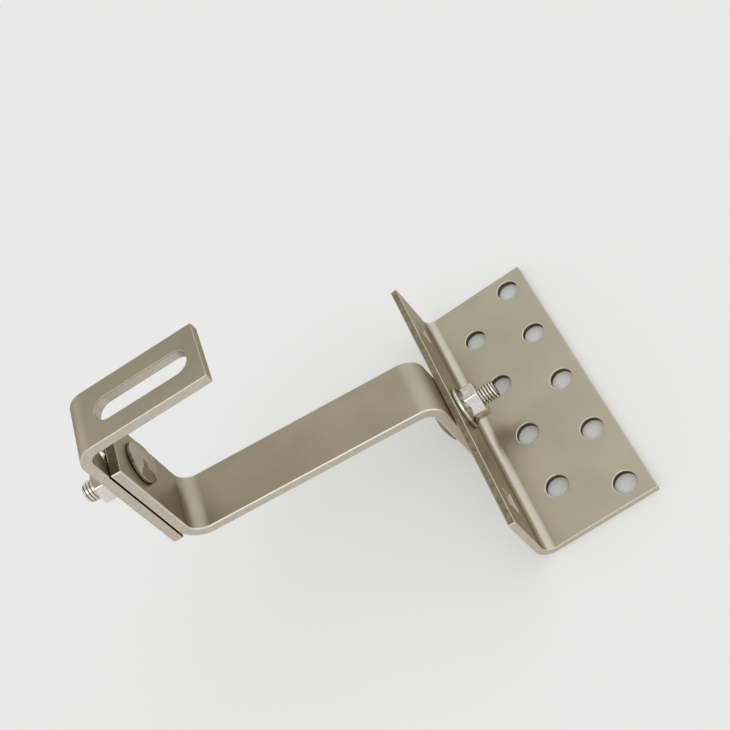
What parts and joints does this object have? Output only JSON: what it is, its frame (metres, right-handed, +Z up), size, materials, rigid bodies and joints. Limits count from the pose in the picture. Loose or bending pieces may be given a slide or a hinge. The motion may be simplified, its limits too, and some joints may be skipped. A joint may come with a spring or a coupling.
{
  "type": "solar roof hook",
  "caption": "Stainless roof hook: a folded base plate with screw holes, a bent flat-bar arm and a slotted rail bracket, bolted with carriage bolts and flange nuts.",
  "frame": {"origin": "middle of the base plate's underside, the face that lies on the roof timber", "axes": "+Z up off the timber, +Y along the base plate, -X from the plate's upright flange out along the arm to the rail bracket"},
  "size_m": [0.2058, 0.151, 0.1562],
  "materials": {
    "plate_steel": "satin stainless steel, fine matte grain",
    "arm_steel": "satin stainless steel, fine matte grain",
    "bracket_steel": "satin stainless steel, fine matte grain",
    "fastener_steel": "bright cold-formed stainless steel"
  },
  "bodies": {
    "root": {"base_plate": "plate_steel", "hook_arm": "arm_steel", "rail_bracket": "bracket_steel", "base_bolt": "fastener_steel", "base_nut": "fastener_steel", "rail_bolt": "fastener_steel", "rail_nut": "fastener_steel"}
  },
  "joints": []
}
